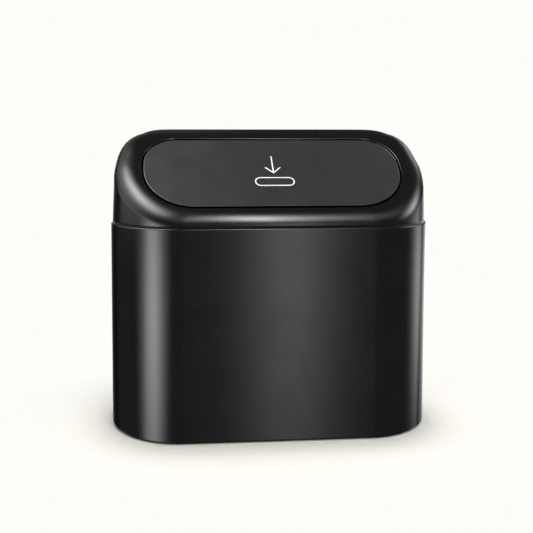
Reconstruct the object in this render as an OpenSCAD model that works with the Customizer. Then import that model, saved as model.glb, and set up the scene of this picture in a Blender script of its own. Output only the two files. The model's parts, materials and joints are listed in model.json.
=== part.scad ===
// Car trash bin: a flat, stadium-shaped bin with a lift-off lid and a sprung push flap.
// Origin at the middle of the footprint, on the floor. +Z up, the flap faces -Y.

/* [Bin] */
// Overall width, along X
bin_w = 160; // [150:1:180]
// Overall depth, along Y, which is also the diameter of the round ends
bin_d = 70; // [68:1:76]
// Height of the bin's rim above the floor
rim_h = 102; // [80:1:130]
// Wall of the bin
bin_wall = 2; // [1.8:0.1:2.4]
// Thickness of the bin's floor
floor_t = 2.4; // [2:0.1:3.5]
// Radius between the floor and the wall, inside
inner_fillet = 5; // [2:0.5:8]
// Bevel along the bottom edge
base_bevel = 0.8; // [0.4:0.1:1.2]
// Rounding of the rim's outer edge
rim_round = 0.8; // [0.4:0.1:1]
// Bevel along the rim's inner edge
rim_bevel = 0.2; // [0.1:0.1:0.4]
// Width of the standing rim under the bin
foot_rim_w = 6; // [4:0.5:8]
// Depth of the recess inside that rim
foot_recess = 0.8; // [0.4:0.1:1.2]

/* [Foot pads] */
// Diameter of a rubber pad
pad_dia = 10; // [8:0.5:12]
// How far a pad stands below the bin
pad_stand = 0.6; // [0.4:0.1:1]
// Depth of the pocket that a pad is glued into
pad_pocket = 0.5; // [0.3:0.1:0.8]
// Bevel round a pad's underside
pad_bevel = 0.5; // [0.3:0.1:0.8]
// Distance of the pads from the middle, along X
pad_x = 46; // [30:1:50]
// Distance of the pads from the middle, along Y
pad_y = 17; // [14:0.5:19]

/* [Lid] */
// Height of the lid above the bin's rim
lid_h = 46.5; // [44:0.5:50]
// How far the lid stands back from the bin's wall
lid_inset = 0.8; // [0.5:0.1:1.2]
// Wall of the lid
lid_wall = 2.2; // [1.8:0.1:2.4]
// Visible gap between the bin and the lid
seam_gap = 0.6; // [0.4:0.1:1]
// Angle of the sloping face
slope = 43; // [40:1:46]
// Height above the rim at which the slope would meet the lid's front wall
slope_start = 5.5; // [5:0.1:7]
// Radius over which the slope turns into the flat top
crown_r = 16; // [12:1:20]
// Largest width of the rolled edge, reached along the back
roll_r = 18; // [14:1:20]
// Height of the rolled edge against its width
roll_rise = 1.3; // [1:0.05:1.4]
// Share of the band round the opening that is rolled, where that is narrower
roll_share = 0.95; // [0.7:0.05:1]
// How far the lid's wall leans in, in degrees
lid_lean = 2; // [0.5:0.5:3]
// Rounding of the lid's lower edge
lid_foot_r = 0.4; // [0.2:0.1:0.6]
// Rounding of the opening's edge
lip_r = 0.6; // [0.3:0.1:0.8]

/* [Flap] */
// Width of the band between the slope's foot and the flap, up the slope
foot_band = 6.3; // [5.5:0.1:8]
// Width of the band between the flap and the line where slope and top would meet
crown_band = 8.4; // [7.5:0.1:11]
// Width of the band between the flap and the widest part of the bin, at each end
end_band = 16.4; // [15:0.2:21]
// Radius of the flap's corners at the foot of the slope
foot_corner = 24.5; // [20:0.5:26]
// Radius of the flap's corners at the crown
crown_corner = 16.5; // [12:0.5:18]
// Gap all round the flap
flap_gap = 0.9; // [0.6:0.1:1.1]
// Rounding of the flap's edge
flap_edge_r = 0.4; // [0.2:0.1:0.6]
// Thickness of the flap's plate
flap_t = 2.2; // [1.8:0.1:2.2]
// Width of the flange that stops the flap under the lid
flange_w = 1; // [0.8:0.1:1.4]
// Thickness of that flange
flange_t = 1.6; // [1.2:0.1:2]
// Clearance between the flange and the lid
flange_gap = 0.2; // [0.1:0.05:0.3]
// Width of the flap's inner rim
flap_rim = 1.6; // [1.2:0.1:2.4]
// How far that rim stands back from the flap's edge
rim_set = 0.2; // [0.1:0.1:0.4]
// Distance from the hinge at which that rim and the flange end
rim_stop = 10; // [9:0.5:14]

/* [Hinge] */
// Distance of the hinge from the flap's top edge, down the slope
hinge_set = 3.5; // [3:0.1:5]
// Depth of the hinge under the flap's face
hinge_deep = 5; // [4.8:0.1:6]
// Diameter of a hinge pin
pin_dia = 2; // [1.6:0.1:2.2]
// Play of a pin in the flap's ears, on the radius
pin_play = 0.05; // [0.03:0.01:0.08]
// Radius of the eyes round a pin, in the lugs and in the ears
eye_r = 2.6; // [2.2:0.1:2.7]
// Distance of a lug's outer face from the middle
lug_x = 39; // [34:0.5:40]
// Thickness of a lug
lug_t = 3; // [2:0.5:4]
// Distance of a lug's root from the opening's edge
lug_set = 0.6; // [0.5:0.1:1]
// Length of a lug's root along the lid's underside
lug_root = 4.3; // [3:0.1:5]
// How far the root is sunk into the lid's wall
lug_sink = 0.6; // [0.3:0.1:1]
// Height of a lug's neck over the pin's middle
lug_neck = 0.4; // [0:0.1:1]
// Thickness of a flap ear
ear_t = 2.4; // [2:0.1:3]
// Height of an ear's rib at the flap's lower edge
rib_low = 1.2; // [0.8:0.1:1.6]
// Height of that rib where it turns down to the ear
rib_high = 2.4; // [1.8:0.1:3]
// Distance of that turn from the hinge
rib_turn = 9; // [6:0.5:12]
// Side play between lug and ear
ear_play = 0.3; // [0.2:0.1:0.5]
// Room for the spring between the two ears of one side
spring_room = 4.6; // [4.2:0.1:6]
// Diameter of the pin's head
head_dia = 3.6; // [3:0.1:4]
// Thickness of the pin's head
head_t = 0.8; // [0.6:0.1:1.2]

/* [Springs] */
// Diameter of the spring wire
wire_dia = 0.6; // [0.5:0.05:0.7]
// Mean diameter of the coil
coil_dia = 3.3; // [3.1:0.1:3.6]
// Whole turns in the coil
coil_turns = 5; // [3:1:5]
// Length of the leg under the flap
leg_len = 14; // [10:1:18]
// Length of the leg that bears on the lid
lid_leg_len = 9; // [7:0.5:9.5]
// Clearance of the coil between the ears, at each end
spring_play = 0.2; // [0.1:0.05:0.3]
// Clearance of the leg's tip under the flap
wire_gap = 0.05; // [0.02:0.01:0.1]

/* [Lid frame] */
// Wall of the skirt that plugs into the bin
skirt_wall = 1.6; // [1.2:0.1:2]
// How far the skirt reaches into the bin
skirt_deep = 12; // [8:1:16]
// Gap between the skirt and the bin
skirt_gap = 0.4; // [0.3:0.05:0.6]
// Thickness of the frame's flange above the seam
frame_t = 1.4; // [1.2:0.1:2]
// How far the seam's shadow groove is set back from the bin's face
groove_deep = 1.1; // [0.9:0.1:1.4]
// Width of the frame's inner ledge
ledge_w = 1.5; // [1:0.1:2]
// Gap between the frame and the lid's wall
frame_gap = 0.2; // [0.1:0.05:0.3]
// Height of the slant at the skirt's lower edge
skirt_lead = 0.8; // [0.5:0.1:1.2]
// Clearance of the grip ribs to the bin's wall
grip_gap = 0.08; // [0.05:0.01:0.15]
// Width of a grip rib
grip_w = 4; // [2:0.5:6]
// Height of a grip rib
grip_h = 7; // [4:0.5:8]
// Distance of the grip ribs below the rim
grip_drop = 2; // [1:0.5:3]
// Distance between the grip ribs of one side
grip_pitch = 30; // [15:1:40]

/* [Screws] */
// Diameter of a screw's thread
screw_dia = 2.6; // [2.2:0.1:3]
// Length of a screw under its head
screw_len = 8; // [6:0.5:10]
// Diameter of a screw's head
screw_head = 5; // [4.4:0.1:5.4]
// Height of a screw's head
screw_head_h = 1.6; // [1.2:0.1:2]
// Length of a screw's tapered tip
screw_tip = 1; // [0.5:0.1:1.5]
// Width of the cross in a screw's head
cross_w = 0.7; // [0.5:0.1:1]
// Depth of that cross
cross_deep = 0.9; // [0.6:0.1:1]
// Clearance of a screw in the frame, on the diameter
screw_play = 0.4; // [0.2:0.1:0.6]
// Width of the frame's tab round a screw's head
tab_margin = 1.5; // [1:0.1:2]
// Distance of the screws from the lid's inner wall
screw_in = 4; // [3.5:0.1:5]
// Distance of the rear screws from the middle
rear_screw_x = 22; // [15:1:26]
// Direction of the front end screws from the end's middle, forward of X
front_screw_turn = 30; // [24:1:34]
// Direction of the rear end screws from the end's middle, back from X
rear_screw_turn = 60; // [55:1:65]
// Diameter of a boss in the lid
boss_dia = 5.6; // [5:0.1:6.4]
// Height of a boss
boss_h = 11; // [10:1:14]
// Thickness of the web that holds a boss
web_t = 1.4; // [1:0.1:2]
// How far the web ends below the boss's top
web_step = 1; // [0.5:0.5:4]

/* [Hidden] */
$fn = 96;
eps = 0.01;
over = 1;
least_roll = 0.8;

// Plan: a straight middle with half-round ends
end_x = (bin_w - bin_d) / 2;
bin_r = bin_d / 2;
lid_r = bin_r - lid_inset;
lid_in_r = lid_r - lid_wall;
bin_in_r = bin_r - bin_wall;

// Heights
base_z = pad_stand;
panel_z = base_z + foot_recess;
floor_z = panel_z + floor_t;
lid_z = rim_h + seam_gap;
frame_top = lid_z + frame_t;
overall_h = rim_h + lid_h;

// Slope and opening
slope_z0 = rim_h + slope_start;
up_slope = [0, cos(slope), sin(slope)];
outward = [0, -sin(slope), cos(slope)];
flap_len = bin_w - 2 * end_band;
flap_w = (overall_h - slope_z0) / sin(slope) - foot_band - crown_band;
flap_r = flap_w / 2;
foot_turn = min(foot_corner, 0.6 * flap_w);
crown_turn = min(crown_corner, 0.4 * flap_w);
flap_mid = [0, -lid_r, slope_z0] + (foot_band + flap_r) * up_slope;
open_r = flap_r + flap_gap;

// Crown: where the arc leaves the slope and where it meets the top
crown_meet = -lid_r + (overall_h - slope_z0) / tan(slope);
crown_y1 = crown_meet - crown_r * tan(slope / 2) * cos(slope);
crown_y2 = crown_meet + crown_r * tan(slope / 2);

// Hinge
hinge_v = flap_r - hinge_set;
hinge_at = flap_mid + hinge_v * up_slope - hinge_deep * outward;
pin_r = pin_dia / 2;
ear_out = lug_x - lug_t - ear_play;
coil_out = ear_out - ear_t;
coil_in = coil_out - spring_room;
ear_in = coil_in - ear_t;

// Screw places in plan, and the direction from each to the wall
screw_set = lid_in_r - screw_in;
SCREWS = concat(
    [for (side = [1, -1]) end_screw(side, -front_screw_turn)],
    [for (side = [1, -1]) end_screw(side, rear_screw_turn)],
    [for (side = [1, -1]) [side * rear_screw_x, screw_set, 90]]
);

function end_screw(side, turn) = [
    side * (end_x + screw_set * cos(turn)),
    screw_set * sin(turn),
    side > 0 ? turn : 180 - turn
];

// Loft divisions: steps round an end, along a side, across the outside and across the inside
end_steps = 36;
side_steps = 4;
out_steps = 18;
in_steps = 8;
foot_steps = 3;
lip_steps = 3;
coil_steps = 14;
wire_sides = 8;
arc_steps = 8;
edge_steps = 4;

black = [0.09, 0.09, 0.095];
grey_black = [0.17, 0.17, 0.175];
steel = [0.7, 0.7, 0.72];

// Sweeps a section of distances and heights round a stadium
module round_stadium(straight, section) {
    for (side = [0, 1])
        rotate([0, 0, 180 * side])
            translate([straight, 0, 0])
                rotate([0, 0, -90])
                    rotate_extrude(angle = 180)
                        polygon(section);
    rotate([90, 0, 90])
        linear_extrude(height = 2 * straight, center = true) {
            polygon(section);
            mirror([1, 0]) polygon(section);
        }
}

module stadium_block(straight, r, h) {
    for (side = [-1, 1])
        translate([side * straight, 0, 0])
            cylinder(r = r, h = h);
    translate([-straight, -r, 0])
        cube([2 * straight, 2 * r, h]);
}

// Places things on the slope: X across, Y up the slope, Z outward from the flap's face
module on_slope() {
    translate(flap_mid)
        rotate([slope, 0, 0])
            children();
}

// Points of a quarter arc in a section
function arc(mid, r, from, to, steps) = [
    for (k = [0:steps])
        let (a = from + (to - from) * k / steps)
            mid + r * [cos(a), sin(a)]
];

// Stadium outline as [x, y] points, anticlockwise from the front of the right end
function outline(straight, r) = [
    for (side = [0, 1])
        for (k = [0:end_steps + side_steps - 1])
            let (
                turn = k < end_steps ? -90 + 180 * k / end_steps : 90,
                x = k < end_steps ? straight : straight * (1 - 2 * (k - end_steps) / side_steps),
                p = [x + r * cos(turn), r * sin(turn)]
            )
                side == 0 ? p : -p
];

// Height of the roof over a point in plan, before its edge is rolled
function roof(y) =
    y < crown_y1 ? slope_z0 + (y + lid_r) * tan(slope)
    : y < crown_y2 ? overall_h - crown_r + sqrt(pow(crown_r, 2) - pow(crown_y2 - y, 2))
    : overall_h;

function roof_angle(y) =
    y < crown_y1 ? slope
    : y < crown_y2 ? asin((crown_y2 - y) / crown_r)
    : 0;

// How far the crown has fallen away from the slope's plane, at a distance up the slope from the flap's middle
function crown_fall(v) =
    pow(max(0, v - flap_r - crown_band + crown_r * tan(slope / 2)), 2) / (2 * crown_r);

// Distance of a point from the edge of a stadium of radius r
function from_edge(p, r) = r - norm([max(abs(p.x) - end_x, 0), p.y]);

// How far a rolled edge lies under the roof at a distance from the wall; its roll is its width and height
function drop(far, roll) =
    far >= roll[0] ? 0 : roll[1] * (1 - sqrt(max(0, 1 - pow(1 - far / roll[0], 2))));

// Point in plan, moved in from the wall as the wall leans in up to a height
function lean_in(p, z, share) =
    let (
        spine = [max(-end_x, min(end_x, p.x)), 0],
        away = [p.x, p.y] - spine
    )
        spine + away * (1 - share * tan(lid_lean) * (z - lid_z) / norm(away));

// Outline of the flap on the slope, widened by the given amount: anticlockwise from the foot of the right end
function flap_outline(wider) = [
    for (side = [1, -1])
        for (k = [0:end_steps + side_steps - 1])
            let (
                turn = side * (min(k, end_steps) * 180 / end_steps - 90),
                r = turn < 0 ? foot_turn : crown_turn,
                x = (flap_len / 2 - r) * (1 - 2 * max(0, k - end_steps) / side_steps),
                v = turn == 0 ? (foot_turn - crown_turn) / 2 : sign(turn) * (flap_r - r)
            )
                [side * (x + (r + wider) * cos(turn)), v + (r + wider) * sin(turn)]
];

// Ring of the opening's edge, widened and let in by the given amounts
function opening(wider, deep) = [
    for (p = flap_outline(flap_gap + wider))
        flap_mid + [p.x, 0, 0] + p.y * up_slope - deep * outward
];

function flat(ring, z) = [for (p = ring) [p.x, p.y, z]];

// Rings from the wall's top edge in to the opening
function roof_rings(wall_ring, edge_ring, r, rolls, thick, steps) = [
    for (k = [0:steps - 1])
        let (s = 1 - cos(90 * k / steps))
            [
                for (i = [0:len(wall_ring) - 1])
                    let (
                        q = [edge_ring[i].x, edge_ring[i].y],
                        p = wall_ring[i] + (q - wall_ring[i]) * s,
                        far = from_edge(p, r),
                        z = roof(p.y) - thick / cos(roof_angle(p.y)) - drop(far, rolls[i]),
                        leant = lean_in(p, z, max(0, 1 - far / rolls[i][0]))
                    )
                        [leant.x, leant.y, z]
            ]
];

// Closed skin over rings that go right round the section
module ring_skin(rings) {
    n = len(rings[0]);
    m = len(rings);
    points = [for (ring = rings) each ring];
    faces = [
        for (k = [0:m - 1])
            for (i = [0:n - 1])
                let (
                    a = k * n + i,
                    b = k * n + (i + 1) % n,
                    c = ((k + 1) % m) * n + (i + 1) % n,
                    d = ((k + 1) % m) * n + i
                )
                    each [[a, c, b], [a, d, c]]
    ];
    polyhedron(points, faces);
}

// Body over level rings that rise, with its first and last ring filled from the middle
module capped_skin(rings) {
    n = len(rings[0]);
    m = len(rings);
    points = concat(
        [for (ring = rings) each ring],
        [[0, 0, rings[0][0].z], [0, 0, rings[m - 1][0].z]]
    );
    faces = [
        for (i = [0:n - 1])
            let (next = (i + 1) % n)
                each concat(
                    [
                        for (k = [0:m - 2])
                            each [
                                [k * n + i, (k + 1) * n + next, k * n + next],
                                [k * n + i, (k + 1) * n + i, (k + 1) * n + next]
                            ]
                    ],
                    [[n * m, i, next]],
                    [[n * m + 1, (m - 1) * n + next, (m - 1) * n + i]]
                )
    ];
    polyhedron(points, faces);
}

module lid_shell() {
    outer = outline(end_x, lid_r);
    inner = outline(end_x, lid_in_r);
    edge = opening(lip_r, 0);
    edge_in = opening(0, lid_wall);
    rolls = [
        for (i = [0:len(edge) - 1])
            let (
                wide = min(roll_share * from_edge(edge[i], lid_r), roll_r),
                room = roof(outer[i].y) - lid_z - 1.5 * lid_foot_r
            )
                [wide, min(roll_rise * wide, room)]
    ];
    rolls_in = [for (roll = rolls) [for (size = roll) max(size - lid_wall, least_roll)]];
    out_rings = roof_rings(outer, edge, lid_r, rolls, 0, out_steps);
    in_rings = roof_rings(inner, edge_in, lid_in_r, rolls_in, lid_wall, in_steps);
    foot_rings = [
        for (k = [0:foot_steps])
            let (a = 90 * k / foot_steps)
                flat(
                    outline(end_x, lid_r - lid_foot_r * (1 - sin(a))),
                    lid_z + lid_foot_r * (1 - cos(a))
                )
    ];
    lip_rings = [
        for (k = [0:lip_steps])
            let (a = 90 * k / lip_steps)
                opening(lip_r * (1 - sin(a)), lip_r * (1 - cos(a)))
    ];
    rings = concat(
        foot_rings,
        out_rings,
        lip_rings,
        [edge_in],
        [for (k = [in_steps - 1:-1:0]) in_rings[k]],
        [flat(inner, lid_z)]
    );
    ring_skin(rings);
}

// A screw boss under the lid, held to the wall by a web
module boss(place) {
    translate([place.x, place.y, frame_top]) {
        cylinder(d = boss_dia, h = boss_h);
        rotate([0, 0, place.z])
            translate([0, -web_t / 2, 0])
                cube([lid_in_r + lid_wall / 2 - screw_set, web_t, boss_h - web_step]);
    }
}

// A hinge lug under the lid, on the slope's own axes: an eye round the pin and a root in the wall
module lug() {
    root_v = open_r + lug_set;
    root_end = root_v + lug_root;
    on_slope()
        rotate([90, 0, 90])
            linear_extrude(height = lug_t)
                polygon(concat(
                    [[root_v, lug_neck - hinge_deep]],
                    [[root_v, lug_sink - lid_wall]],
                    [[root_end, lug_sink - lid_wall - crown_fall(root_end)]],
                    [[root_v + lug_root / 2, -hinge_deep - eye_r / 2]],
                    arc([hinge_v, -hinge_deep], eye_r, -90, -270, 2 * arc_steps)
                ));
}

module lid_cover() color(black)
    difference() {
        union() {
            lid_shell();
            for (place = SCREWS)
                boss(place);
            translate([lug_x - lug_t, 0, 0]) lug();
            translate([-lug_x, 0, 0]) lug();
        }
        for (place = SCREWS)
            translate([place.x, place.y, frame_top - over])
                cylinder(d = screw_dia, h = screw_len + over);
        translate([-lug_x - over, hinge_at.y, hinge_at.z])
            rotate([0, 90, 0])
                cylinder(d = pin_dia, h = 2 * (lug_x + over));
    }

// A rubber pad in its pocket under the bin; side and back are -1 or 1
module foot_pad(side, back) color(grey_black)
    translate([side * pad_x, back * pad_y, 0]) {
        cylinder(d1 = pad_dia - 2 * pad_bevel, d2 = pad_dia, h = pad_bevel);
        translate([0, 0, pad_bevel])
            cylinder(d = pad_dia, h = panel_z + pad_pocket - pad_bevel);
    }

module bin_body() color(black)
    difference() {
        round_stadium(end_x, concat(
            [[0, panel_z]],
            [[bin_r - foot_rim_w, panel_z]],
            [[bin_r - foot_rim_w + foot_recess / 2, base_z]],
            [[bin_r - base_bevel, base_z]],
            [[bin_r, base_z + base_bevel]],
            arc([bin_r - rim_round, rim_h - rim_round], rim_round, 0, 90, edge_steps),
            [[bin_in_r + rim_bevel, rim_h]],
            [[bin_in_r, rim_h - rim_bevel]],
            arc([bin_in_r - inner_fillet, floor_z + inner_fillet], inner_fillet, 0, -90, arc_steps),
            [[0, floor_z]]
        ));
        for (side = [-1, 1])
            for (back = [-1, 1])
                translate([side * pad_x, back * pad_y, panel_z - over])
                    cylinder(d = pad_dia, h = pad_pocket + over);
    }

// Plug ring of the lid: it hangs in the bin, sits on the rim and carries the lid cover
module lid_frame() color(grey_black) {
    skirt_r = bin_in_r - skirt_gap;
    ledge_r = lid_in_r - frame_gap;
    skirt_in = skirt_r - skirt_wall;
    difference() {
        union() {
            round_stadium(end_x, [
                [skirt_in, rim_h - skirt_deep],
                [skirt_r - skirt_lead / 2, rim_h - skirt_deep],
                [skirt_r, rim_h - skirt_deep + skirt_lead],
                [skirt_r, rim_h],
                [bin_r - groove_deep, rim_h],
                [bin_r - groove_deep, lid_z],
                [ledge_r, lid_z],
                [ledge_r, frame_top],
                [skirt_in - ledge_w, frame_top],
                [skirt_in - ledge_w, rim_h],
                [skirt_in, rim_h]
            ]);
            for (place = SCREWS)
                intersection() {
                    translate([place.x, place.y, rim_h])
                        cylinder(d = screw_head + 2 * tab_margin, h = frame_top - rim_h);
                    translate([0, 0, rim_h])
                        stadium_block(end_x, skirt_in + eps, frame_top - rim_h);
                }
            for (turn = [0, 180])
                for (x = [-grip_pitch, 0, grip_pitch])
                    rotate([0, 0, turn])
                        translate([x - grip_w / 2, skirt_r - eps, rim_h - grip_drop - grip_h])
                            cube([grip_w, bin_in_r - grip_gap - skirt_r + eps, grip_h]);
        }
        for (place = SCREWS)
            translate([place.x, place.y, rim_h - over])
                cylinder(d = screw_dia + screw_play, h = frame_top - rim_h + 2 * over);
    }
}

// A self-tapping screw, driven up through the frame into its boss
module frame_screw(place) color(steel)
    translate([place.x, place.y, rim_h])
        difference() {
            union() {
                translate([0, 0, -screw_head_h])
                    cylinder(d1 = screw_head - screw_head_h, d2 = screw_head, h = screw_head_h / 2);
                translate([0, 0, -screw_head_h / 2])
                    cylinder(d = screw_head, h = screw_head_h / 2);
                cylinder(d = screw_dia, h = screw_len - screw_tip);
                translate([0, 0, screw_len - screw_tip])
                    cylinder(d1 = screw_dia, d2 = screw_dia / 2, h = screw_tip);
            }
            for (turn = [0, 90])
                rotate([0, 0, turn])
                    translate([-screw_dia / 2, -cross_w / 2, -screw_head_h - over])
                        cube([screw_dia, cross_w, over + cross_deep]);
        }

// Stop flange and inner rim of the flap, which end short of the hinge
module flap_rim_ring() {
    flange_top = -lid_wall - flange_gap;
    flange_low = flange_top - flange_t;
    section = [
        [-rim_set - flap_rim, flange_low],
        [flap_gap + flange_w, flange_low],
        [flap_gap + flange_w, flange_top],
        [-rim_set, flange_top],
        [-rim_set, -flap_t / 2],
        [-rim_set - flap_rim, -flap_t / 2]
    ];
    on_slope()
        difference() {
            ring_skin([for (p = section) flat(flap_outline(p[0]), p[1])]);
            translate([-flap_len, hinge_v - rim_stop, flange_low - over])
                cube([2 * flap_len, flap_w, over - flange_low - 0.75 * flap_t]);
        }
}

module flap_ear(x) {
    on_slope()
        translate([x, 0, 0])
            rotate([90, 0, 90])
                linear_extrude(height = ear_t)
                    polygon(concat(
                        [[-flap_r + flap_rim / 2, -flap_t + eps]],
                        [[-flap_r + flap_rim / 2, -flap_t - rib_low]],
                        [[hinge_v - rib_turn, -flap_t - rib_high]],
                        arc([hinge_v, -hinge_deep], eye_r, -90, 0, arc_steps),
                        [[hinge_v + eye_r, -flap_t + eps]]
                    ));
}

module push_flap() color(grey_black)
    difference() {
        union() {
            on_slope()
                capped_skin(concat(
                    [flat(flap_outline(0), -flap_t)],
                    [
                        for (k = [0:lip_steps])
                            let (a = 90 * k / lip_steps)
                                flat(flap_outline(-flap_edge_r * (1 - cos(a))), -flap_edge_r * (1 - sin(a)))
                    ]
                ));
            flap_rim_ring();
            for (x = [ear_out - ear_t, ear_in])
                for (side = [0, 1])
                    flap_ear(side == 0 ? x : -x - ear_t);
        }
        translate([-lug_x, hinge_at.y, hinge_at.z])
            rotate([0, 90, 0])
                cylinder(r = pin_r + pin_play, h = 2 * lug_x);
    }

// A headed pin, pressed through its lug; side is -1 or 1
module hinge_pin(side) color(steel)
    translate(hinge_at)
        rotate([0, 90 * side, 0]) {
            translate([0, 0, ear_in])
                cylinder(d = pin_dia, h = lug_x - ear_in);
            translate([0, 0, lug_x])
                cylinder(d = head_dia, h = head_t);
        }

function slope_point(x, v, w) = flap_mid + [x, 0, 0] + v * up_slope + w * outward;

// Middle line of a spring: leg under the lid, coil round the pin, leg under the flap
function spring_path() =
    let (
        coil_r = coil_dia / 2,
        start_x = coil_out - spring_play - wire_dia / 2,
        pitch = (spring_room - wire_dia - 2 * spring_play) / coil_turns,
        tilt = asin((hinge_deep - flap_t - wire_dia / 2 - wire_gap - coil_r) / leg_len),
        turned = 360 * coil_turns - tilt,
        steps = coil_steps * coil_turns,
        coil = [
            for (k = [0:steps])
                let (a = turned * k / steps)
                    [start_x - pitch * a / 360, coil_r * cos(90 + a), coil_r * sin(90 + a)]
        ],
        last = coil[steps],
        whole = concat(
            [[start_x, lid_leg_len, coil_r]],
            coil,
            [last + leg_len * [0, -cos(tilt), sin(tilt)]]
        )
    )
        [for (p = whole) slope_point(p.x, hinge_v + p.y, p.z - hinge_deep)];

// Round wire swept along a path that never runs along X
module wire(path, dia) {
    n = len(path);
    rings = [
        for (k = [0:n - 1])
            let (
                run = path[min(k + 1, n - 1)] - path[max(k - 1, 0)],
                side = cross(run, [1, 0, 0]),
                across = side / norm(side),
                up = cross(run, across) / norm(run)
            )
                [
                    for (j = [0:wire_sides - 1])
                        let (a = 360 * j / wire_sides)
                            path[k] + dia / 2 * (cos(a) * across + sin(a) * up)
                ]
    ];
    points = [for (ring = rings) each ring];
    faces = concat(
        [[for (j = [wire_sides - 1:-1:0]) j]],
        [
            for (k = [0:n - 2])
                for (j = [0:wire_sides - 1])
                    let (
                        a = k * wire_sides + j,
                        b = k * wire_sides + (j + 1) % wire_sides
                    )
                        each [[a, b, b + wire_sides], [a, b + wire_sides, a + wire_sides]]
        ],
        [[for (j = [0:wire_sides - 1]) (n - 1) * wire_sides + j]]
    );
    polyhedron(points, faces);
}

module torsion_spring(side) color(steel)
    mirror([side < 0 ? 1 : 0, 0, 0])
        wire(spring_path(), wire_dia);

bin_body();
foot_pad(-1, -1);  // foot_pad_front_left
foot_pad(1, -1);  // foot_pad_front_right
foot_pad(-1, 1);  // foot_pad_rear_left
foot_pad(1, 1);  // foot_pad_rear_right
lid_cover();
lid_frame();
frame_screw(SCREWS[0]);  // frame_screw_1
frame_screw(SCREWS[1]);  // frame_screw_2
frame_screw(SCREWS[2]);  // frame_screw_3
frame_screw(SCREWS[3]);  // frame_screw_4
frame_screw(SCREWS[4]);  // frame_screw_5
frame_screw(SCREWS[5]);  // frame_screw_6
push_flap();
hinge_pin(-1);  // hinge_pin_left
hinge_pin(1);  // hinge_pin_right
torsion_spring(-1);  // torsion_spring_left
torsion_spring(1);  // torsion_spring_right
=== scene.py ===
# Looks of the car trash bin: its plastics, rubber and steel, the press mark, the studio and the camera.
import json
import math

import bpy
from mathutils import Matrix, Vector


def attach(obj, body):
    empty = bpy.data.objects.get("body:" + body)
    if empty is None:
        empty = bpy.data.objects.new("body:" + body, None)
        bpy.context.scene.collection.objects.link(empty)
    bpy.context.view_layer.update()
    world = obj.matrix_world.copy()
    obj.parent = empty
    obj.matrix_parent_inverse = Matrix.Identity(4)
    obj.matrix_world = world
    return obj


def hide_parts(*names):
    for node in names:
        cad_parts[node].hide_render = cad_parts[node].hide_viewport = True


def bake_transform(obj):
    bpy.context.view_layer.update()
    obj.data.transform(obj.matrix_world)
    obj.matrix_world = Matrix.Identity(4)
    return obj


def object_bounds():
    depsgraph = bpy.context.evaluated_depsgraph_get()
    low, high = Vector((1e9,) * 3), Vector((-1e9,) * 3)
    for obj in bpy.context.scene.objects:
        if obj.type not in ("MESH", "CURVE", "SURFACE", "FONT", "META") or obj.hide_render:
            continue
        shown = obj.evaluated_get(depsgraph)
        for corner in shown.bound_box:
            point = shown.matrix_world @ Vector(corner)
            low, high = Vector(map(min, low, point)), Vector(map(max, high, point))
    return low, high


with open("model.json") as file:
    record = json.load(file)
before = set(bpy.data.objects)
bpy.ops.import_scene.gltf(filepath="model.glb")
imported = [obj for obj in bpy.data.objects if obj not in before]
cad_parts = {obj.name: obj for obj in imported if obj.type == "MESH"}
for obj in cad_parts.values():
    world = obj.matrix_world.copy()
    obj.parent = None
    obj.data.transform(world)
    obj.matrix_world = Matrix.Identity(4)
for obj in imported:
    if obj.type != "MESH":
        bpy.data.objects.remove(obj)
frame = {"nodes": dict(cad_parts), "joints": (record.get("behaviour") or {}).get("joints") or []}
nodes = frame["nodes"]
cad_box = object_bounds()

MM = 0.001
hinge = next(joint for joint in frame["joints"] if joint["name"] == "flap_hinge")
hinge_at = Vector(hinge["pos_m"])

# The flap's plane, in the part's own sizes
SLOPE = math.radians(43)
FLAP_HALF = 22.709 * MM
HINGE_SET = 3.5 * MM
HINGE_DEEP = 5 * MM
up_slope = Vector((0, math.cos(SLOPE), math.sin(SLOPE)))
outward = Vector((0, -math.sin(SLOPE), math.cos(SLOPE)))
flap_mid = hinge_at + HINGE_DEEP * outward - (FLAP_HALF - HINGE_SET) * up_slope

# How far behind that plane the painted shade of the groove begins, on the lid's lip and on the flap's edge
LIP_DEEP = 0.3 * MM
FLAP_EDGE_DEEP = 0.05 * MM

# The bin's inside: where its round ends begin, the height of its floor and what counts as level
BIN_END_X = 45 * MM
FLOOR_TOP = 6 * MM
LEVEL = 0.9

# Copies of CAD meshes: the distance at which corners join, and the angle up to which a surface is smooth
WELD = 0.001 * MM
SMOOTH_UNDER = math.radians(34)
WIRE_ROUNDING = 2


# Modelling helpers
def deselect():
    bpy.ops.object.select_all(action="DESELECT")


def make_active(obj):
    deselect()
    obj.select_set(True)
    bpy.context.view_layer.objects.active = obj


def enter_edit():
    bpy.ops.object.mode_set(mode="EDIT")


def leave_edit():
    bpy.ops.object.mode_set(mode="OBJECT")


def edit(obj):
    make_active(obj)
    enter_edit()


def apply_place(obj):
    """Puts an object's place, turn and scale into its mesh."""
    make_active(obj)
    bpy.ops.object.transform_apply(location=True, rotation=True, scale=True)


def select_faces(obj, wanted):
    """Selects the faces of the mesh being edited whose middle and normal answer to wanted."""
    bpy.ops.mesh.select_all(action="DESELECT")
    leave_edit()
    for face in obj.data.polygons:
        face.select = wanted(face.center, face.normal)
    enter_edit()


def finish_material(obj, material):
    obj.data.materials.clear()
    obj.data.materials.append(material)


def merged_copy(node, name):
    """A copy of a CAD node's mesh with its loose triangles joined, as a piece of its own."""
    obj = bpy.data.objects.new(name, nodes[node].data.copy())
    bpy.context.scene.collection.objects.link(obj)
    edit(obj)
    bpy.ops.mesh.customdata_custom_splitnormals_clear()
    bpy.ops.mesh.select_all(action="SELECT")
    bpy.ops.mesh.remove_doubles(threshold=WELD)
    leave_edit()
    return obj


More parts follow.
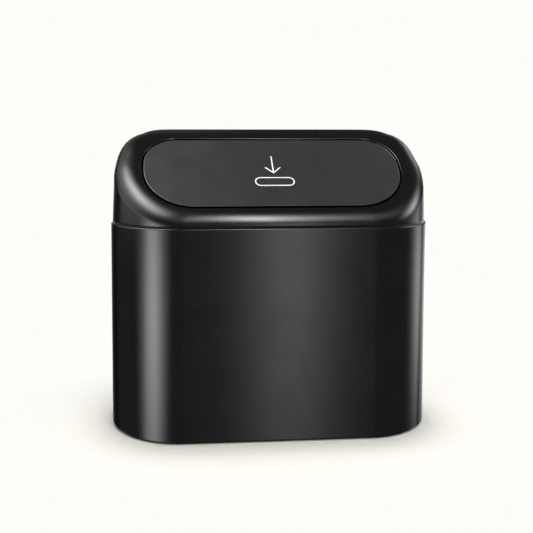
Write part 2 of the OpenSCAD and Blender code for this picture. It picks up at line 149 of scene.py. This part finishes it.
# Material helpers
WAVES_SCALE = 28.0
CLOUDS_SCALE = 70.0
MARKS_SCALE = 1800.0
MARKS_DEEP = 0.01 * MM
# How far a surface has turned away, from 0 to 1, where its gloss has gone
GLOSS_GONE = 0.69
# The part of a noise texture's range that holds nearly all of its values
NOISE_LOW = 0.3
NOISE_HIGH = 0.7


def grey(level):
    return (level, level, level)


def new_material(name):
    material = bpy.data.materials.new(name)
    material.use_nodes = True
    tree = material.node_tree
    tree.nodes.clear()
    return material, tree


def grain(tree, coords, scale, detail=2.0, rough=0.5):
    noise = tree.nodes.new("ShaderNodeTexNoise")
    noise.inputs["Scale"].default_value = scale
    noise.inputs["Detail"].default_value = detail
    noise.inputs["Roughness"].default_value = rough
    tree.links.new(coords.outputs["Object"], noise.inputs["Vector"])
    return noise


def spread(tree, source, low, high):
    """Maps a noise texture onto low to high."""
    ramp = tree.nodes.new("ShaderNodeMapRange")
    ramp.inputs["From Min"].default_value = NOISE_LOW
    ramp.inputs["From Max"].default_value = NOISE_HIGH
    ramp.inputs["To Min"].default_value = low
    ramp.inputs["To Max"].default_value = high
    tree.links.new(source, ramp.inputs["Value"])
    return ramp


def tint(tree, factor, dark, light):
    mix = tree.nodes.new("ShaderNodeMix")
    mix.data_type = "RGBA"
    mix.inputs["A"].default_value = (*dark, 1)
    mix.inputs["B"].default_value = (*light, 1)
    tree.links.new(factor, mix.inputs["Factor"])
    return mix


def relief(tree, height, distance, strength, under=None):
    bump = tree.nodes.new("ShaderNodeBump")
    bump.inputs["Strength"].default_value = strength
    bump.inputs["Distance"].default_value = distance
    tree.links.new(height, bump.inputs["Height"])
    if under is not None:
        tree.links.new(under.outputs["Normal"], bump.inputs["Normal"])
    return bump


def even_gloss(tree, shader, specular, turned_away):
    """Lets the gloss fall off towards a surface's edge, as on a surface wiped with polish."""
    layer = tree.nodes.new("ShaderNodeLayerWeight")
    fall = tree.nodes.new("ShaderNodeMapRange")
    fall.interpolation_type = "SMOOTHSTEP"
    fall.inputs["From Max"].default_value = GLOSS_GONE
    fall.inputs["To Min"].default_value = specular
    fall.inputs["To Max"].default_value = turned_away
    tree.links.new(layer.outputs["Facing"], fall.inputs["Value"])
    tree.links.new(fall.outputs["Result"], shader.inputs["Specular IOR Level"])


def show_shader(tree, shader, bump):
    """Joins a surface's relief and its output to its shader."""
    tree.links.new(bump.outputs["Normal"], shader.inputs["Normal"])
    output = tree.nodes.new("ShaderNodeOutputMaterial")
    tree.links.new(shader.outputs["BSDF"], output.inputs["Surface"])


def moulded_plastic(name, dark, light, roughness, specular, fine, fine_relief, wave_relief, turned_away=None):
    """Injection-moulded plastic: a fine skin over the faint waves of a moulded wall."""
    material, tree = new_material(name)
    coords = tree.nodes.new("ShaderNodeTexCoord")
    skin = grain(tree, coords, fine, 3.0, 0.6)
    waves = grain(tree, coords, WAVES_SCALE, 1.0)
    clouds = grain(tree, coords, CLOUDS_SCALE, 3.0)
    shader = tree.nodes.new("ShaderNodeBsdfPrincipled")
    if turned_away is None:
        shader.inputs["Specular IOR Level"].default_value = specular
    else:
        even_gloss(tree, shader, specular, turned_away)
    cloudy = spread(tree, clouds.outputs["Fac"], 0, 1)
    colour = tint(tree, cloudy.outputs["Result"], dark, light)
    tree.links.new(colour.outputs["Result"], shader.inputs["Base Color"])
    rough = spread(tree, clouds.outputs["Fac"], *roughness)
    tree.links.new(rough.outputs["Result"], shader.inputs["Roughness"])
    soft = relief(tree, waves.outputs["Fac"], wave_relief, 0.5)
    show_shader(tree, shader, relief(tree, skin.outputs["Fac"], fine_relief, 0.5, soft))
    return material


def satin_black():
    return moulded_plastic(
        "satin_black_plastic",
        dark=(0.0020, 0.0020, 0.0022),
        light=(0.0028, 0.0028, 0.0030),
        roughness=(0.145, 0.17),
        specular=0.094,
        fine=2600.0,
        fine_relief=0.004 * MM,
        wave_relief=0.03 * MM,
        turned_away=0.0004,
    )


def matte_black():
    return moulded_plastic(
        "matte_black_plastic",
        dark=grey(0.0018),
        light=grey(0.0026),
        roughness=(0.35, 0.39),
        specular=0.17,
        fine=3200.0,
        fine_relief=0.03 * MM,
        wave_relief=0.02 * MM,
    )


def frame_black():
    return moulded_plastic(
        "frame_black_plastic",
        dark=grey(0.0026),
        light=grey(0.0036),
        roughness=(0.50, 0.60),
        specular=0.04,
        fine=1800.0,
        fine_relief=0.02 * MM,
        wave_relief=0.03 * MM,
    )


# Painted shade: a darker, nearly glossless black that stands for the shade in the groove round the flap and
# inside the lid's opening
def painted_groove_shade_black():
    return moulded_plastic(
        "painted_groove_shade_plastic",
        dark=grey(0.0010),
        light=grey(0.0016),
        roughness=(0.60, 0.70),
        specular=0.01,
        fine=1600.0,
        fine_relief=0.02 * MM,
        wave_relief=0.02 * MM,
    )


def inside_black():
    return moulded_plastic(
        "inside_black_plastic",
        dark=grey(0.012),
        light=grey(0.018),
        roughness=(0.50, 0.60),
        specular=0.25,
        fine=900.0,
        fine_relief=0.03 * MM,
        wave_relief=0.05 * MM,
    )


def pad_rubber():
    return moulded_plastic(
        "pad_rubber",
        dark=(0.022, 0.022, 0.021),
        light=(0.034, 0.034, 0.033),
        roughness=(0.75, 0.88),
        specular=0.25,
        fine=2400.0,
        fine_relief=0.05 * MM,
        wave_relief=0.02 * MM,
    )


def white_print():
    return moulded_plastic(
        "white_print",
        dark=(0.80, 0.80, 0.79),
        light=(0.90, 0.90, 0.89),
        roughness=(0.45, 0.55),
        specular=0.4,
        fine=3000.0,
        fine_relief=0.006 * MM,
        wave_relief=0.0,
    )


def steel(name, dark, light, roughness, stretch):
    """Plated or drawn steel with fine marks, drawn out along X where stretch is under 1 there."""
    material, tree = new_material(name)
    coords = tree.nodes.new("ShaderNodeTexCoord")
    mapping = tree.nodes.new("ShaderNodeMapping")
    mapping.inputs["Scale"].default_value = stretch
    tree.links.new(coords.outputs["Object"], mapping.inputs["Vector"])
    marks = tree.nodes.new("ShaderNodeTexNoise")
    marks.inputs["Scale"].default_value = MARKS_SCALE
    marks.inputs["Detail"].default_value = 3.0
    tree.links.new(mapping.outputs["Vector"], marks.inputs["Vector"])
    shader = tree.nodes.new("ShaderNodeBsdfPrincipled")
    shader.inputs["Metallic"].default_value = 1.0
    factor = spread(tree, marks.outputs["Fac"], 0, 1)
    colour = tint(tree, factor.outputs["Result"], dark, light)
    tree.links.new(colour.outputs["Result"], shader.inputs["Base Color"])
    rough = spread(tree, marks.outputs["Fac"], *roughness)
    tree.links.new(rough.outputs["Result"], shader.inputs["Roughness"])
    show_shader(tree, shader, relief(tree, marks.outputs["Fac"], MARKS_DEEP, 0.4))
    return material


def zinc_plate():
    return steel("zinc_plate", (0.50, 0.51, 0.53), (0.66, 0.67, 0.69), (0.28, 0.42), (1, 1, 1))


def drawn_wire():
    return steel("drawn_wire", (0.30, 0.30, 0.315), (0.42, 0.42, 0.435), (0.28, 0.40), (0.2, 1, 1))


# Pieces
def show_piece(node, name, body, material):
    """A moulding that stands for its CAD node, with its rolls and rounded edges smooth and its flats flat."""
    piece = merged_copy(node, name)
    make_active(piece)
    bpy.ops.object.shade_smooth_by_angle(angle=SMOOTH_UNDER)
    even = piece.modifiers.new("flat_faces", "WEIGHTED_NORMAL")
    even.keep_sharp = True
    even.weight = 100
    bpy.ops.object.modifier_apply(modifier="flat_faces")
    finish_material(piece, material)
    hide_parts(node)
    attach(piece, body)
    return piece


def inner_finish_or_painted_groove_shade(piece, material, hidden):
    """Gives the faces chosen by hidden a second material: a rougher inner finish, or painted shade in the
    groove round the flap.
    """
    piece.data.materials.append(material)
    edit(piece)
    select_faces(piece, hidden)
    piece.active_material_index = 1
    bpy.ops.object.material_slot_assign()
    leave_edit()


def depth_in(at):
    """How far a point lies behind the flap's front face."""
    return (flap_mid - at).dot(outward)


def bin_inside(at, normal):
    """The bin's cavity, its floor included."""
    end = math.copysign(min(abs(at.x), BIN_END_X), at.x)
    in_wall = normal.x * (end - at.x) - normal.y * at.y > 0
    on_floor = normal.z > LEVEL and at.z < 2 * FLOOR_TOP
    return at.z > FLOOR_TOP / 2 and (in_wall or on_floor)


def lid_inside(at, normal):
    """The lid's inner side, with the wall of its opening behind the rounded lip, where painted shade goes."""
    return depth_in(at) > LIP_DEEP and normal.dot(flap_mid - at) > 0


def flap_rim(at, normal):
    """The flap behind its rounded front edge, where painted shade goes."""
    return depth_in(at) > FLAP_EDGE_DEEP


def spring(side, material):
    """A torsion spring with round wire, which the hinge winds up as the flap swings in; this copy keeps the
    one shape of its CAD node.
    """
    node = "torsion_spring_" + side
    coil = merged_copy(node, "spring_" + side)
    make_active(coil)
    bpy.ops.object.shade_smooth()
    rounding = coil.modifiers.new("round_wire", "SUBSURF")
    rounding.levels = WIRE_ROUNDING
    rounding.render_levels = WIRE_ROUNDING
    bpy.ops.object.modifier_apply(modifier="round_wire")
    finish_material(coil, material)
    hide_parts(node)
    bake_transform(coil)


# The press mark: an arrow that points down at a ring of the flap's own shape
MARK_STROKE = 0.6 * MM
MARK_THICK = 0.03 * MM
ARROW_TOP = 10.8 * MM
ARROW_TIP = -1.2 * MM
ARROW_HALF = 4.1 * MM
RING_MID = -6.7 * MM
RING_LONG = 19.5 * MM
RING_HIGH = 5.8 * MM
# The ring's corner radius, just under half its height, so that two corners don't meet
RING_CORNER = 0.499 * RING_HIGH
RING_SEGMENTS = 12


def raise_print():
    """Gives the flat faces being edited the thickness of the print."""
    bpy.ops.mesh.select_all(action="SELECT")
    bpy.ops.mesh.extrude_region_move(TRANSFORM_OT_translate={"value": (0, 0, MARK_THICK)})
    bpy.ops.mesh.select_all(action="SELECT")
    bpy.ops.mesh.normals_make_consistent(inside=False)
    leave_edit()


def hollow(obj, inside):
    """Leaves a stroke along the outline of the flat shape being edited."""
    bpy.ops.mesh.select_all(action="SELECT")
    bpy.ops.mesh.inset(thickness=MARK_STROKE)
    select_faces(obj, inside)
    bpy.ops.mesh.delete(type="FACE")


def mark_bar(width, height, middle):
    """A flat bar of the press mark, which stays in edit mode."""
    deselect()
    bpy.ops.mesh.primitive_plane_add(size=1, location=(0, middle, 0))
    bar = bpy.context.object
    bar.scale = (width, height, 1)
    apply_place(bar)
    enter_edit()
    return bar


def mark_ring():
    ring = mark_bar(RING_LONG, RING_HIGH, RING_MID)
    bpy.ops.mesh.select_all(action="SELECT")
    bpy.ops.mesh.bevel(offset=RING_CORNER, segments=RING_SEGMENTS, affect="VERTICES")
    reach = RING_HIGH / 2 - MARK_STROKE
    hollow(ring, lambda mid, normal: abs(mid.y - RING_MID) < reach / 2 and abs(mid.x) < RING_LONG / 4)
    raise_print()
    return ring


def mark_arrow_head():
    """The lower two sides of a square that stands on its corner."""
    middle = ARROW_TIP + ARROW_HALF
    deselect()
    bpy.ops.mesh.primitive_circle_add(
        vertices=4, radius=ARROW_HALF, fill_type="NGON", location=(0, middle, 0)
    )
    head = bpy.context.object
    apply_place(head)
    enter_edit()
    hollow(head, lambda mid, normal: mid.y > middle - MARK_STROKE)
    raise_print()
    return head


def mark_arrow_shaft():
    low = ARROW_TIP + MARK_STROKE
    shaft = mark_bar(MARK_STROKE, ARROW_TOP - low, (ARROW_TOP + low) / 2)
    raise_print()
    return shaft


def press_mark(material):
    """Printed on the flap, in the flap's own plane."""
    head = mark_arrow_head()
    shaft = mark_arrow_shaft()
    ring = mark_ring()
    make_active(head)
    union = head.modifiers.new("shaft", "BOOLEAN")
    union.operation = "UNION"
    union.object = shaft
    bpy.ops.object.modifier_apply(modifier="shaft")
    bpy.data.objects.remove(shaft)
    ring.select_set(True)
    bpy.ops.object.join()
    head.name = "press_mark"
    head.matrix_world = Matrix.Translation(flap_mid) @ Matrix.Rotation(SLOPE, 4, "X")
    apply_place(head)
    finish_material(head, material)
    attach(head, "flap")


# Dressing the bin
satin = satin_black()
painted_groove_shade = painted_groove_shade_black()
wire = drawn_wire()
zinc = zinc_plate()
rubber = pad_rubber()

bin_shell = show_piece("bin_body", "bin_shell", "bin", satin)
inner_finish_or_painted_groove_shade(bin_shell, inside_black(), bin_inside)
lid_shell = show_piece("lid_cover", "lid_shell", "lid", satin)
# Painted shade on the lid's opening wall and inner side, for the dark groove round the flap
inner_finish_or_painted_groove_shade(lid_shell, painted_groove_shade, lid_inside)
flap_plate = show_piece("push_flap", "flap_plate", "flap", matte_black())
# Painted shade on the flap's rim behind its front edge, the flap's side of that groove
inner_finish_or_painted_groove_shade(flap_plate, painted_groove_shade, flap_rim)
press_mark(white_print())
for side in ("left", "right"):
    spring(side, wire)
    finish_material(nodes["hinge_pin_" + side], wire)
    for end in ("front", "rear"):
        finish_material(nodes[f"foot_pad_{end}_{side}"], rubber)
for number in range(1, 7):
    finish_material(nodes[f"frame_screw_{number}"], zinc)
finish_material(nodes["lid_frame"], frame_black())

# Studio: the background, the card on the floor near the bin, and the lamps' distance
PALE = (0.991, 0.982, 0.947)
CARD = (0.97, 0.95, 0.885)
FLOOR_SIZE = 6.0
# The card fades between these distances from the middle, in an oval that is longer than deep by this much
CARD_NEAR = 0.075
CARD_FAR = 0.155
CARD_OVAL = 1.6
WORLD_FILL = 0.15
LAMP_AWAY = 2.0


def seen_rays(tree):
    """1 for camera, glossy and transmission rays, which all see the plain background."""
    path = tree.nodes.new("ShaderNodeLightPath")
    first = tree.nodes.new("ShaderNodeMath")
    first.operation = "ADD"
    tree.links.new(path.outputs["Is Camera Ray"], first.inputs[0])
    tree.links.new(path.outputs["Is Glossy Ray"], first.inputs[1])
    both = tree.nodes.new("ShaderNodeMath")
    both.operation = "ADD"
    both.use_clamp = True
    tree.links.new(first.outputs[0], both.inputs[0])
    tree.links.new(path.outputs["Is Transmission Ray"], both.inputs[1])
    return both


def pale_world():
    world = bpy.data.worlds.new("pale_studio")
    bpy.context.scene.world = world
    world.use_nodes = True
    tree = world.node_tree
    tree.nodes.clear()
    light = tree.nodes.new("ShaderNodeBackground")
    light.inputs["Color"].default_value = (1, 1, 1, 1)
    light.inputs["Strength"].default_value = WORLD_FILL
    shown = tree.nodes.new("ShaderNodeBackground")
    shown.inputs["Color"].default_value = (*PALE, 1)
    mix = tree.nodes.new("ShaderNodeMixShader")
    tree.links.new(seen_rays(tree).outputs[0], mix.inputs[0])
    tree.links.new(light.outputs[0], mix.inputs[1])
    tree.links.new(shown.outputs[0], mix.inputs[2])
    output = tree.nodes.new("ShaderNodeOutputWorld")
    tree.links.new(mix.outputs[0], output.inputs["Surface"])


def card_fade(tree):
    """0 on the card near the bin, 1 past its oval edge."""
    coords = tree.nodes.new("ShaderNodeTexCoord")
    oval = tree.nodes.new("ShaderNodeVectorMath")
    oval.operation = "MULTIPLY"
    oval.inputs[1].default_value = (1, CARD_OVAL, 1)
    tree.links.new(coords.outputs["Object"], oval.inputs[0])
    length = tree.nodes.new("ShaderNodeVectorMath")
    length.operation = "LENGTH"
    tree.links.new(oval.outputs["Vector"], length.inputs[0])
    fade = tree.nodes.new("ShaderNodeMapRange")
    fade.interpolation_type = "SMOOTHSTEP"
    fade.inputs["From Min"].default_value = CARD_NEAR
    fade.inputs["From Max"].default_value = CARD_FAR
    tree.links.new(length.outputs["Value"], fade.inputs["Value"])
    return fade


def pale_floor():
    """A pale floor that keeps the shadow near the bin and runs out into the background."""
    deselect()
    bpy.ops.mesh.primitive_plane_add(size=FLOOR_SIZE, location=(0, 0, cad_box[0][2]))
    floor = bpy.context.object
    floor.name = "floor"
    material, tree = new_material("pale_floor")
    card = tree.nodes.new("ShaderNodeBsdfDiffuse")
    card.inputs["Color"].default_value = (*CARD, 1)
    beyond = tree.nodes.new("ShaderNodeEmission")
    beyond.inputs["Color"].default_value = (*PALE, 1)
    mix = tree.nodes.new("ShaderNodeMixShader")
    tree.links.new(card_fade(tree).outputs["Result"], mix.inputs[0])
    tree.links.new(card.outputs[0], mix.inputs[1])
    tree.links.new(beyond.outputs[0], mix.inputs[2])
    output = tree.nodes.new("ShaderNodeOutputMaterial")
    tree.links.new(mix.outputs[0], output.inputs["Surface"])
    floor.data.materials.append(material)
    floor.visible_glossy = False


def soft_glow(tree, cut):
    """A lamp's glow, which falls off from its middle like a bell and ends at cut times the bell's spread."""
    place = tree.nodes.new("ShaderNodeNewGeometry")
    off = tree.nodes.new("ShaderNodeVectorMath")
    off.operation = "MULTIPLY_ADD"
    off.inputs[1].default_value = (2 * cut, 2 * cut, 0)
    off.inputs[2].default_value = (-cut, -cut, 0)
    tree.links.new(place.outputs["Parametric"], off.inputs[0])
    square = tree.nodes.new("ShaderNodeVectorMath")
    square.operation = "DOT_PRODUCT"
    tree.links.new(off.outputs["Vector"], square.inputs[0])
    tree.links.new(off.outputs["Vector"], square.inputs[1])
    bell = tree.nodes.new("ShaderNodeMath")
    bell.operation = "POWER"
    bell.inputs[0].default_value = math.exp(-0.5)
    tree.links.new(square.outputs["Value"], bell.inputs[1])
    emission = tree.nodes.new("ShaderNodeEmission")
    tree.links.new(bell.outputs[0], emission.inputs["Strength"])
    output = tree.nodes.new("ShaderNodeOutputLight")
    tree.links.new(emission.outputs[0], output.inputs["Surface"])


def softbox(name, turn, lift, glow, spread_across, spread_up, cut=3.0, seen=True):
    """A lamp turn degrees right of the bin's front and lift degrees up, with spreads in degrees.
    It is seen in the gloss alone, or lights the rest alone where seen is False."""
    across = 2 * cut * LAMP_AWAY * math.tan(math.radians(spread_across))
    up = 2 * cut * LAMP_AWAY * math.tan(math.radians(spread_up))
    turn, lift = math.radians(turn), math.radians(lift)
    look = Vector((math.sin(turn) * math.cos(lift), -math.cos(turn) * math.cos(lift), math.sin(lift)))
    data = bpy.data.lights.new(name, "AREA")
    data.shape = "RECTANGLE"
    data.size = across
    data.size_y = up
    data.energy = glow * math.pi * across * up
    data.use_nodes = True
    data.node_tree.nodes.clear()
    soft_glow(data.node_tree, cut)
    lamp = bpy.data.objects.new(name, data)
    bpy.context.scene.collection.objects.link(lamp)
    lamp.location = Vector((0, 0, 0.5 * cad_box[1][2])) + look * LAMP_AWAY
    lamp.rotation_euler = (-look).to_track_quat("-Z", "Y").to_euler()
    lamp.visible_camera = False
    lamp.visible_glossy = seen
    lamp.visible_diffuse = not seen


pale_world()
pale_floor()
softbox("top_key", 180, 86, 37.0, 5, 5, seen=False)
softbox("front_key", 10, 50, 3.0, 20, 20, seen=False)
softbox("left_low", -49, -13, 38.0, 11, 11)
softbox("left_high", -67, 53, 72.0, 17, 9.5)
softbox("left_haze", -93, 31, 12.0, 24, 14)
softbox("left_side", -88, 5, 5.5, 43, 12, cut=0.75)
softbox("front_tall", 8.6, 35, 105.0, 1.6, 7)
softbox("front_side", 13, 35, 30.0, 3, 7)
softbox("front_low", 10.8, -4, 15.0, 2, 19)
softbox("front_haze", 26, 38, 6.0, 24, 7)
softbox("right_spot", 85, 16.5, 46.0, 10.5, 7.2)
softbox("right_low", 120, -10.5, 38.0, 16.5, 7.5)
softbox("right_rear", 135, 26, 66.0, 9, 9)
softbox("rear_high", -160, 27, 12.0, 16, 16)

# Camera, from a fit of the bin's outlines in the photograph
PHOTO = 533.0
SENSOR = 36.0
FOCAL_PX = 724.4
TURN = math.radians(4.64)
PITCH = math.radians(3.94)
AWAY = 368.6 * MM
ASIDE = -28.5 * MM
EYE_HEIGHT = 141.8 * MM
SHIFT_RIGHT = 0.10
SHIFT_DOWN = 0.14
CLIP_START = 0.01


def photo_camera():
    forward = Vector((math.sin(TURN), math.cos(TURN), 0))
    right = Vector((math.cos(TURN), -math.sin(TURN), 0))
    data = bpy.data.cameras.new("photo_camera")
    data.sensor_width = SENSOR
    data.lens = FOCAL_PX / PHOTO * SENSOR
    data.shift_x = SHIFT_RIGHT
    data.shift_y = -SHIFT_DOWN
    data.clip_start = CLIP_START
    camera = bpy.data.objects.new("photo_camera", data)
    bpy.context.scene.collection.objects.link(camera)
    camera.location = -forward * AWAY + right * ASIDE + Vector((0, 0, EYE_HEIGHT))
    look = forward * math.cos(PITCH) - Vector((0, 0, math.sin(PITCH)))
    camera.rotation_euler = look.to_track_quat("-Z", "Y").to_euler()
    bpy.context.scene.camera = camera


photo_camera()
bpy.context.scene.view_settings.view_transform = "Standard"
